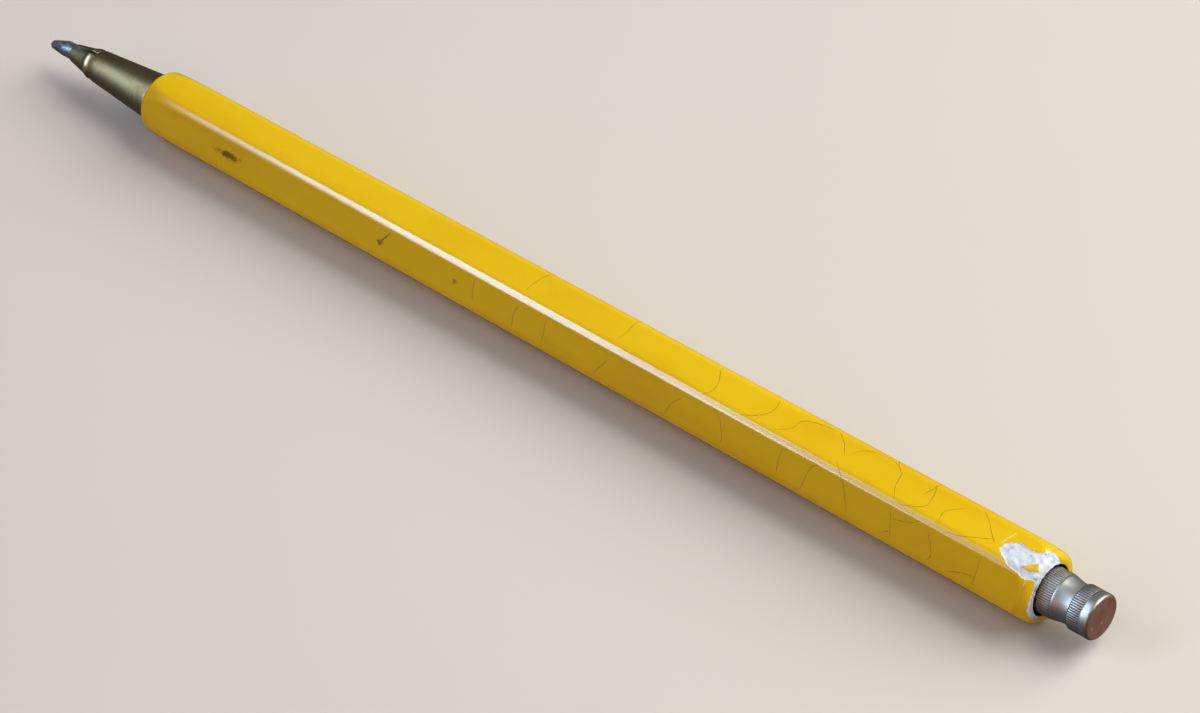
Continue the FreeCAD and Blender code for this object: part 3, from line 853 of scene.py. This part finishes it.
def yellow_nitro_lacquer(colours, corner):
    """Nitro lacquer, dipped in several coats: a deep wet gloss, ambered in patches, faintly rippled.

    The ground attribute shows the matt white ground coat where the lacquer has chipped off, and
    the lip attribute a painted highlight: a pale edge where the lacquer has lifted beside the chip.
    """
    material, tree, coords = bare_material("yellow_nitro_lacquer")
    drawn_out = add(tree, "ShaderNodeMapping", {0: coords, "Scale": (0.35, 1, 1)})
    patches = add(tree, "ShaderNodeTexNoise", {"Vector": drawn_out, "Scale": 1 / 9.0, "Detail": 4.0})
    speck = add(tree, "ShaderNodeTexNoise", {"Vector": coords, "Scale": 1 / 0.5})
    amber = add(tree, "ShaderNodeMapRange", {0: patches, 1: 0.42, 2: 0.75}, interpolation_type=SMOOTH)
    body = add(tree, "ShaderNodeMix", {0: amber, 6: colours.lacquer, 7: colours.aged}, data_type="RGBA")
    dust = add(tree, "ShaderNodeMapRange", {0: speck, 1: 0.66, 2: 0.8, 4: 0.35})
    body = add(tree, "ShaderNodeMix", {0: dust, 6: body, 7: colours.aged}, data_type="RGBA")
    ragged = add(tree, "ShaderNodeTexNoise", {"Vector": coords, "Scale": 1 / 0.45, "Detail": 4.0})
    for ahead, around, radii, strength, hexa in MARKS:
        y, z, _, _ = section(around, corner)
        centre = (MOUTH - OUTER_EDGE - ahead, float(y), float(AXIS + z))
        mark = blot(tree, coords, centre, radii, ragged, strength)
        body = add(tree, "ShaderNodeMix", {0: mark, 6: body, 7: linear(hexa)}, data_type="RGBA")
    # Painted highlight: the pale line along the lifted lip beside the chip is painted into the colour.
    lip = add(tree, "ShaderNodeAttribute", attribute_name="lip").outputs["Fac"]
    lifted = add(tree, "ShaderNodeMath", {0: lip, 1: 0.6}, operation="MULTIPLY")
    body = add(tree, "ShaderNodeMix", {0: lifted, 6: body, 7: linear("#F3DE96")}, data_type="RGBA")
    station = add(tree, "ShaderNodeSeparateXYZ", {0: coords})
    # Painted shade: a dark band on the lacquer at its front edge, where the casing meets the nose cone.
    joint_shade = add(tree, "ShaderNodeMapRange",
                {0: station, 1: CASING_FRONT + 0.02, 2: CASING_FRONT + 0.1, 3: 0.85, 4: 0.0})
    body = add(tree, "ShaderNodeMix", {0: joint_shade, 6: body, 7: linear("#3E3C44")}, data_type="RGBA")

    apart = add(tree, "ShaderNodeMapping", {0: coords, "Location": (40, 40, 40)})
    smudge = add(tree, "ShaderNodeTexNoise", {"Vector": apart, "Scale": 1 / 1.1, "Detail": 3.0})
    blue = add(tree, "ShaderNodeMapRange", {0: smudge, 1: 0.5, 2: 0.72}, interpolation_type=SMOOTH)
    chalk = add(tree, "ShaderNodeMix", {0: blue, 6: colours.ground, 7: linear("#A3B2DA")}, data_type="RGBA")
    fleck = add(tree, "ShaderNodeTexNoise", {"Vector": apart, "Scale": 1 / 0.22})
    fleck = add(tree, "ShaderNodeMapRange", {0: fleck, 1: 0.62, 2: 0.72, 4: 0.5})
    chalk = add(tree, "ShaderNodeMix", {0: fleck, 6: chalk, 7: linear("#9AA2B4")}, data_type="RGBA")
    ground = add(tree, "ShaderNodeAttribute", attribute_name="ground").outputs["Fac"]
    bare = add(tree, "ShaderNodeMapRange", {0: ground, 1: 0.35, 2: 0.65}, interpolation_type=SMOOTH)
    colour_here = add(tree, "ShaderNodeMix", {0: bare, 6: body, 7: chalk}, data_type="RGBA")

    gloss = add(tree, "ShaderNodeMapRange", {0: patches, 1: 0.3, 2: 0.7, 3: 0.14, 4: 0.2})
    rough = add(tree, "ShaderNodeMix", {0: bare, 2: gloss, 3: 0.45})
    long_waves = add(tree, "ShaderNodeMapping", {0: coords, "Scale": (0.5, 1, 1)})
    ripples = add(tree, "ShaderNodeTexNoise", {"Vector": long_waves, "Scale": 1 / 2.6})
    flowed = add(tree, "ShaderNodeBump", {"Height": ripples, "Strength": 0.5, "Distance": 0.03 * MM})
    grain = add(tree, "ShaderNodeTexNoise", {"Vector": coords, "Scale": 1 / 0.3, "Detail": 3.0})
    chalky = add(tree, "ShaderNodeMath", {0: grain, 1: bare}, operation="MULTIPLY")
    bumped = add(tree, "ShaderNodeBump",
                 {"Height": chalky, "Strength": 0.8, "Distance": 0.05 * MM, "Normal": flowed})
    shader = add(tree, "ShaderNodeBsdfPrincipled",
                 {"Base Color": colour_here, "Roughness": rough, "IOR": 1.5, "Normal": bumped})
    add(tree, "ShaderNodeOutputMaterial", {0: shader})
    return material


def crack_dirt(colours):
    """Dirt and oxidised lacquer packed in a hairline crack: dark amber and matt."""
    material, tree, coords = bare_material("crack_dirt")
    tone = add(tree, "ShaderNodeTexNoise", {"Vector": coords, "Scale": 1 / 1.4})
    faded = add(tree, "ShaderNodeMapRange", {0: tone, 1: 0.35, 2: 0.65})
    dirt = add(tree, "ShaderNodeMix", {0: faded, 6: colours.crack, 7: linear("#9A7418")}, data_type="RGBA")
    shader = add(tree, "ShaderNodeBsdfPrincipled", {"Base Color": dirt, "Roughness": 0.45})
    add(tree, "ShaderNodeOutputMaterial", {0: shader})
    return material


def turned_metal(name, light, dark, patch, roughness, dents=0.0, rubbed=None):
    """Metal cut on a lathe: two tones in patches of a size in millimetres, over fine tool rings.

    Fine tool rings would not show, so they are drawn 0.3 mm apart.
    dents is the depth of handling dents, and rubbed a station where the patina is worn off.
    """
    material, tree, coords = bare_material(name)
    clouds = add(tree, "ShaderNodeTexNoise", {"Vector": coords, "Scale": 1 / patch, "Detail": 4.0})
    fine = add(tree, "ShaderNodeTexNoise", {"Vector": coords, "Scale": 7 / patch, "Detail": 3.0})
    blend = add(tree, "ShaderNodeMix", {0: 0.3, 2: clouds, 3: fine})
    worn = add(tree, "ShaderNodeMapRange", {0: blend, 1: 0.4, 2: 0.64}, interpolation_type=SMOOTH)
    tone = add(tree, "ShaderNodeMix", {0: worn, 6: light, 7: dark}, data_type="RGBA")
    if rubbed is not None:
        station = add(tree, "ShaderNodeSeparateXYZ", {0: coords})
        off = add(tree, "ShaderNodeMath", {0: station, 1: rubbed, 2: 0.25}, operation="COMPARE")
        bright = add(tree, "ShaderNodeMath", {0: off, 1: 0.7}, operation="MULTIPLY")
        tone = add(tree, "ShaderNodeMix", {0: bright, 6: tone, 7: linear("#C4BC98")}, data_type="RGBA")
    around = add(tree, "ShaderNodeMapping", {0: coords, "Scale": (1, 0.02, 0.02)})
    rings = add(tree, "ShaderNodeTexNoise", {"Vector": around, "Scale": 1 / 0.3})
    uneven = add(tree, "ShaderNodeMix", {0: 0.25, 2: blend, 3: rings})
    satin = add(tree, "ShaderNodeMapRange",
                {0: uneven, 1: 0.35, 2: 0.65, 3: roughness - 0.08, 4: roughness + 0.1})
    normal = add(tree, "ShaderNodeBump", {"Height": rings, "Distance": 0.004 * MM})
    if dents:
        knocks = add(tree, "ShaderNodeTexNoise", {"Vector": coords, "Scale": 1 / 0.7})
        normal = add(tree, "ShaderNodeBump", {"Height": knocks, "Distance": dents * MM, "Normal": normal})
    shader = add(tree, "ShaderNodeBsdfPrincipled",
                 {"Base Color": tone, "Metallic": 1.0, "Roughness": satin, "Normal": normal})
    add(tree, "ShaderNodeOutputMaterial", {0: shader})
    return material


def bronzed_brass(colours):
    """Brass turned and then bronzed in acid: an olive brown satin, with the jaws' shoulder rubbed bright."""
    return turned_metal("bronzed_brass", colours.bronze, colours.brown, 3.2, 0.4, 0.003, CONE_FRONT - 0.85)


def spring_wire(colours):
    """Hard-drawn spring steel: mid grey with a fine lengthwise shine."""
    return turned_metal("spring_wire", colours.steel, linear("#5C5E62"), 1.5, 0.3)


def drawn_brass():
    """Thin drawn brass tube inside the barrel, dull dark brown: partly tarnish, partly painted shade of the
    bore.
    """
    # Painted shade: the dark brown stands partly for the shade inside the bore.
    return turned_metal("drawn_brass", linear("#6A645A"), linear("#4A453C"), 4.0, 0.45)


def turned_brass():
    """Free-cutting brass straight from the lathe: warm yellow and bright."""
    return turned_metal("turned_brass", linear("#B39A62"), linear("#8C7648"), 2.5, 0.32)


def worn_nickel_plate(colours):
    """Nickel plate on turned brass, dulled by handling: a soft blue-grey satin.

    Brass shows through at the rim. The end face that the thumb pushes is painted reddish brown and
    made less metallic: a painted reflection of red cloth.
    """
    material, tree, coords = bare_material("worn_nickel_plate")
    clouds = add(tree, "ShaderNodeTexNoise", {"Vector": coords, "Scale": 1 / 1.6, "Detail": 3.0})
    fine = add(tree, "ShaderNodeTexNoise", {"Vector": coords, "Scale": 1 / 0.25, "Detail": 3.0})
    station = add(tree, "ShaderNodeSeparateXYZ", {0: coords})
    dull = add(tree, "ShaderNodeMapRange", {0: clouds, 1: 0.42, 2: 0.7}, interpolation_type=SMOOTH)
    plate = add(tree, "ShaderNodeMix", {0: dull, 6: colours.nickel, 7: linear("#A0A29E")}, data_type="RGBA")
    rim = add(tree, "ShaderNodeMapRange", {0: station, 1: BUTTON_FACE - 0.6, 2: BUTTON_FACE - 0.1})
    thin = add(tree, "ShaderNodeMapRange", {0: fine, 1: 0.35, 2: 0.65, 4: 0.6})
    worn = add(tree, "ShaderNodeMath", {0: rim, 1: thin}, operation="MULTIPLY")
    plate = add(tree, "ShaderNodeMix", {0: worn, 6: plate, 7: colours.brass}, data_type="RGBA")
    # Painted reflection: the end face turns reddish brown and less metallic, standing in for red cloth
    # reflected in it.
    face = add(tree, "ShaderNodeMapRange", {0: station, 1: BUTTON_FACE - 0.06, 2: BUTTON_FACE - 0.03})
    painted_face_reflection = add(tree, "ShaderNodeMapRange", {0: clouds, 1: 0.3, 2: 0.62, 3: 0.75, 4: 1.0})
    painted_face_reflection = add(tree, "ShaderNodeMath", {0: face, 1: painted_face_reflection}, operation="MULTIPLY")
    plate = add(tree, "ShaderNodeMix", {0: painted_face_reflection, 6: plate, 7: linear("#7C4C42")}, data_type="RGBA")
    metal = add(tree, "ShaderNodeMapRange", {0: painted_face_reflection, 3: 1.0, 4: 0.2})
    # Two small pale spots on the end face.
    for y, z in ((-0.08, 3.25), (-1.58, 3.82)):
        pale_spot = blot(tree, coords, (BUTTON_FACE, y, z), (0.4, 0.13, 0.13), fine, 0.7)
        plate = add(tree, "ShaderNodeMix", {0: pale_spot, 6: plate, 7: linear("#C8B4A6")}, data_type="RGBA")
    rubbed = add(tree, "ShaderNodeMapRange", {0: clouds, 1: 0.35, 2: 0.65, 3: 0.4, 4: 0.5})
    around = add(tree, "ShaderNodeMapping", {0: coords, "Scale": (1, 0.02, 0.02)})
    rings = add(tree, "ShaderNodeTexNoise", {"Vector": around, "Scale": 1 / 0.2})
    normal = add(tree, "ShaderNodeBump", {"Height": rings, "Distance": 0.002 * MM})
    shader = add(tree, "ShaderNodeBsdfPrincipled",
                 {"Base Color": plate, "Metallic": metal, "Roughness": rubbed, "Normal": normal})
    add(tree, "ShaderNodeOutputMaterial", {0: shader})
    return material


def knurled_nickel(colours, root):
    """The same plate rolled into a knurl: grime lies in the grooves, and the crests are rubbed bright."""
    material, tree, coords = bare_material("knurled_nickel")
    middle = add(tree, "ShaderNodeVectorMath", {0: coords, 1: (0, 0, AXIS)}, operation="SUBTRACT")
    across = add(tree, "ShaderNodeVectorMath", {0: middle, 1: (0, 1, 1)}, operation="MULTIPLY")
    radius = add(tree, "ShaderNodeVectorMath", {0: across}, operation="LENGTH")
    fine = add(tree, "ShaderNodeTexNoise", {"Vector": coords, "Scale": 1 / 0.3, "Detail": 3.0})
    wobble = add(tree, "ShaderNodeMapRange", {0: fine, 1: 0.3, 2: 0.7, 3: -0.01, 4: 0.01})
    height = add(tree, "ShaderNodeMath", {0: radius, 1: wobble}, operation="ADD")
    clean = add(tree, "ShaderNodeMapRange", {0: height, 1: root, 2: root + 0.05}, interpolation_type=SMOOTH)
    plate = add(tree, "ShaderNodeMix", {0: clean, 6: colours.grime, 7: colours.nickel}, data_type="RGBA")
    rough = add(tree, "ShaderNodeMapRange", {0: clean, 3: 0.6, 4: 0.4})
    shader = add(tree, "ShaderNodeBsdfPrincipled", {"Base Color": plate, "Metallic": 1.0, "Roughness": rough})
    add(tree, "ShaderNodeOutputMaterial", {0: shader})
    return material


def burnished_graphite(colours):
    """Fired graphite and clay, ground to a point: grey with a painted blue reflection in its colour, a soft
    metallic sheen and fine streaks.
    """
    material, tree, coords = bare_material("burnished_graphite")
    lengthwise = add(tree, "ShaderNodeMapping", {0: coords, "Scale": (0.25, 1, 1)})
    streaks = add(tree, "ShaderNodeTexNoise", {"Vector": lengthwise, "Scale": 1 / 0.25, "Detail": 3.0})
    dark = add(tree, "ShaderNodeMapRange", {0: streaks, 1: 0.35, 2: 0.65})
    # Painted reflection: the blue tint of the graphite colour stands in for reflected bluish light.
    tone = add(tree, "ShaderNodeMix", {0: dark, 6: colours.graphite, 7: linear("#4A505A")}, data_type="RGBA")
    rough = add(tree, "ShaderNodeMapRange", {0: streaks, 1: 0.3, 2: 0.7, 3: 0.26, 4: 0.42})
    normal = add(tree, "ShaderNodeBump", {"Height": streaks, "Distance": 0.012 * MM})
    shader = add(tree, "ShaderNodeBsdfPrincipled",
                 {"Base Color": tone, "Metallic": 0.6, "Roughness": rough, "Normal": normal})
    add(tree, "ShaderNodeOutputMaterial", {0: shader})
    return material


def pale_paper():
    """Uncoated matt paper, laid flat: pale, even and without shine."""
    material, tree, coords = bare_material("pale_paper")
    grain = add(tree, "ShaderNodeTexNoise", {"Vector": coords, "Scale": 1 / 60.0})
    tone = add(tree, "ShaderNodeMix", {0: grain, 6: linear("#CFCBC5"), 7: linear("#D3CFC9")},
               data_type="RGBA")
    shader = add(tree, "ShaderNodeBsdfPrincipled", {"Base Color": tone, "Roughness": 0.9})
    add(tree, "ShaderNodeOutputMaterial", {0: shader})
    return material


# ---- Fitting pieces to the frame -----------------------------------------
def fit(obj, material, body, slot, *nodes):
    """Finish a new piece: its material, the body it rides on, and the CAD nodes it stands for."""
    if not obj.data.materials:
        obj.data.materials.append(material)
    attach(obj, body)
    if nodes:
        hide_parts(*nodes)


def repaint(node, material):
    """Give a CAD node that keeps its own shape a better material."""
    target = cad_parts[node]
    if not target.material_slots:
        target.data.materials.append(material)
    for slot in target.material_slots:
        slot.material = material


def settings():
    """The pencil's settings in the scene."""
    return bpy.context.scene.pencil


def grime_the_roots(obj, material, first, last, root):
    """Put the knurl's material on the turned faces under the teeth, between two stations."""
    obj.data.materials.append(material)
    for face in obj.data.polygons:
        x = face.center.x / MM
        radius = math.hypot(face.center.y, face.center.z - AXIS * MM) / MM
        if first < x < last and radius > root - 0.1:
            face.material_index = 1


# ---- Operators -----------------------------------------------------------
class PENCIL_OT_barrel(bpy.types.Operator):
    """Make the lacquered hexagonal casing with its chipped mouth"""
    bl_idname = "pencil.barrel"
    bl_label = "Barrel"

    def execute(self, context):
        barrel = settings().barrel
        obj = lacquered_barrel(barrel)
        material = yellow_nitro_lacquer(settings().colours, barrel.corner / MM)
        fit(obj, material, "barrel", "yellow_lacquer", "barrel_casing")
        return {"FINISHED"}


class PENCIL_OT_cracks(bpy.types.Operator):
    """Draw the hairline cracks of the old lacquer"""
    bl_idname = "pencil.cracks"
    bl_label = "Cracks"

    def execute(self, context):
        barrel = settings().barrel
        width = barrel.crack / MM
        rng = np.random.default_rng(barrel.seed)
        material = crack_dirt(settings().colours)
        crazed = craze_ribbons("craze_lines", SEEN_CRACKS + hidden_cracks(barrel), width, barrel, rng)
        fit(crazed, material, "barrel", "yellow_lacquer")
        opened = craze_ribbons("open_crack", [OPEN_CRACK], 2 * width, barrel, rng, swell=1.6)
        fit(opened, material, "barrel", "yellow_lacquer")
        return {"FINISHED"}


class PENCIL_OT_clutch(bpy.types.Operator):
    """Make the nose cone and the three jaws"""
    bl_idname = "pencil.clutch"
    bl_label = "Nose Cone and Jaws"

    def execute(self, context):
        colours = settings().colours
        bronze = bronzed_brass(colours)
        cone = lathe("turned_nose_cone", finer(cone_outline(), 1.2), ROUND)
        fit(cone, bronze, "barrel", "bronzed_brass", "nose_cone")
        slot = settings().metal.slot / MM
        for number, degrees in enumerate((30, 150, 270), start=1):
            name = "jaw_%d" % number
            piece = jaw("clutch_" + name, math.radians(degrees), slot)
            fit(piece, bronze, name, "bronzed_brass", name)
        repaint("collet_sleeve", bronze)
        return {"FINISHED"}


class PENCIL_OT_lead(bpy.types.Operator):
    """Make the lead with its worn point"""
    bl_idname = "pencil.lead"
    bl_label = "Lead"

    def execute(self, context):
        fit(lead_piece(), burnished_graphite(settings().colours), "lead", "graphite", "lead")
        return {"FINISHED"}


class PENCIL_OT_button(bpy.types.Operator):
    """Make the knurled sleeve and the push button"""
    bl_idname = "pencil.button"
    bl_label = "Sleeve and Button"

    def execute(self, context):
        metal = settings().metal
        colours = settings().colours
        tooth = metal.tooth / MM
        plate = worn_nickel_plate(colours)
        root = KNURL_CREST - tooth
        knurled = knurled_nickel(colours, root)
        sleeve = lathe("end_sleeve", finer(sleeve_outline(tooth), 1.5), ROUND)
        sleeve.data.materials.append(plate)
        grime_the_roots(sleeve, knurled, BAND_START + 0.2, NECK_START - 0.1, root)
        fit(sleeve, plate, "plunger", "worn_nickel", "tube_end_sleeve")
        long = NECK_START - BAND_START - 0.13
        band = knurl_band("sleeve_knurl", BAND_START + 0.1, long, root, metal, knurled)
        fit(band, knurled, "plunger", "worn_nickel")
        button = lathe("button_shell", finer(button_outline(tooth), 1.5), ROUND)
        button.data.materials.append(plate)
        grime_the_roots(button, knurled, BUTTON_FRONT + 0.07, BUTTON_FRONT + 1.4, root)
        fit(button, plate, "button", "worn_nickel", "push_button")
        band = knurl_band("button_knurl", BUTTON_FRONT + 0.04, 1.5, BUTTON_CREST - tooth, metal, knurled)
        fit(band, knurled, "button", "worn_nickel")
        return {"FINISHED"}


class PENCIL_OT_spring(bpy.types.Operator):
    """Make the return spring; in the real pencil it shortens as the button is pushed"""
    bl_idname = "pencil.spring"
    bl_label = "Return Spring"

    def execute(self, context):
        metal = settings().metal
        steel = spring_wire(settings().colours)
        wire = metal.wire / MM
        spring = tube("coil_spring", spring_path(wire, metal.turns), wire / 2, 10)
        fit(spring, steel, "barrel", "spring_steel", "return_spring")
        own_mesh(spring)
        repaint("button_snap_ring", steel)
        repaint("lead_pointer", steel)
        return {"FINISHED"}


class PENCIL_OT_inner(bpy.types.Operator):
    """Paint the tubes, bushes and washers inside the barrel"""
    bl_idname = "pencil.inner"
    bl_label = "Inner Parts"

    def execute(self, context):
        drawn = drawn_brass()
        turned = turned_brass()
        for node in ("barrel_liner", "lead_tube"):
            repaint(node, drawn)
        for node in ("front_bush", "rear_guide_bush", "spring_seat_washer", "spring_washer", "spring_collar"):
            repaint(node, turned)
        return {"FINISHED"}


class PENCIL_OT_stage(bpy.types.Operator):
    """Set the floor, the soft light and the camera"""
    bl_idname = "pencil.stage"
    bl_label = "Stage"

    def execute(self, context):
        floor()
        along = (0, -0.88, -0.47)
        lamp("window", (-0.555, -0.547, 0.679), along, (0.95, 0.375), 3.0, "#D4E4FF")
        glint = lamp("window_glint", (-0.619, -0.522, 0.633), along, (0.95, 0.205), 9.0, "#C4DEFF")
        glint.visible_diffuse = False
        lamp("key", (0.40, 0.46, 0.50), (1, -0.6, 0), (0.75, 0.75), 10.0, "#FFFBF4")
        lamp("ceiling", (0.10, -0.30, 1.05), (1, 0, 0), (0.80, 0.80), 1.1, "#FFFFFF")
        lamp("fill", (0.15, -0.80, 0.25), (1, 0, 0), (0.70, 0.50), 1.0, "#FFA45C")
        world = bpy.data.worlds.new("soft_room")
        world.use_nodes = True
        background = world.node_tree.nodes["Background"]
        background.inputs[0].default_value = linear("#CFC8C2")
        background.inputs[1].default_value = 0.12
        context.scene.world = world
        view_settings = context.scene.view_settings
        view_settings.view_transform = "Standard"
        camera_data = bpy.data.cameras.new("camera")
        camera_data.lens = 101.95
        camera_data.sensor_width = 36
        camera_data.clip_start = 0.01
        camera = bpy.data.objects.new("camera", camera_data)
        camera.location = Vector((219.0, -159.2, 254.6)) * MM
        camera.rotation_euler = Euler([math.radians(a) for a in (45.086, 9.375, 43.164)])
        context.scene.collection.objects.link(camera)
        bpy.context.scene.camera = camera
        return {"FINISHED"}


def floor():
    """A pale floor under the pencil."""
    reach = 3.0 / MM
    corners = [(-reach, -reach, 0), (reach, -reach, 0), (reach, reach, 0), (-reach, reach, 0)]
    obj = new_object("floor", corners, [(0, 1, 2, 3)])
    obj.data.materials.append(pale_paper())
    obj.visible_glossy = False


def lamp(name, place, along, sides, power, hexa):
    """A soft rectangular light that points at the pencil, with its first side along a direction."""
    data = bpy.data.lights.new(name, "AREA")
    data.shape = "RECTANGLE"
    data.size, data.size_y = sides
    data.energy = power
    data.color = linear(hexa)[:3]
    back = Vector(place).normalized()
    side = (Vector(along) - back * back.dot(Vector(along))).normalized()
    obj = bpy.data.objects.new(name, data)
    turned = Matrix((side, back.cross(side), back)).transposed().to_4x4()
    obj.matrix_world = Matrix.Translation(place) @ turned
    bpy.context.scene.collection.objects.link(obj)
    return obj


class PENCIL_PT_panel(bpy.types.Panel):
    """Sizes, colours and the buttons that make each piece"""
    bl_idname = "PENCIL_PT_panel"
    bl_label = "Clutch Pencil"
    bl_space_type = "VIEW_3D"
    bl_region_type = "UI"
    bl_category = "Clutch Pencil"

    def draw(self, context):
        for group in (settings().barrel, settings().metal, settings().colours):
            box = self.layout.box()
            for name in group.__annotations__:
                box.prop(group, name)
        for operator in OPERATORS:
            self.layout.operator(operator.bl_idname)


GROUPS = (PENCIL_PG_barrel, PENCIL_PG_metal, PENCIL_PG_colours, PENCIL_PG_settings)
OPERATORS = (PENCIL_OT_barrel, PENCIL_OT_cracks, PENCIL_OT_clutch, PENCIL_OT_lead, PENCIL_OT_button,
             PENCIL_OT_spring, PENCIL_OT_inner, PENCIL_OT_stage)


def register():
    for group in GROUPS + OPERATORS + (PENCIL_PT_panel,):
        bpy.utils.register_class(group)
    bpy.types.Scene.pencil = PointerProperty(type=PENCIL_PG_settings)


def unregister():
    del bpy.types.Scene.pencil
    for group in reversed(GROUPS + OPERATORS + (PENCIL_PT_panel,)):
        bpy.utils.unregister_class(group)


def main():
    register()
    bpy.ops.pencil.barrel()
    bpy.ops.pencil.cracks()
    bpy.ops.pencil.clutch()
    bpy.ops.pencil.lead()
    bpy.ops.pencil.button()
    bpy.ops.pencil.spring()
    bpy.ops.pencil.inner()
    bpy.ops.pencil.stage()


if __name__ == "__main__":
    main()
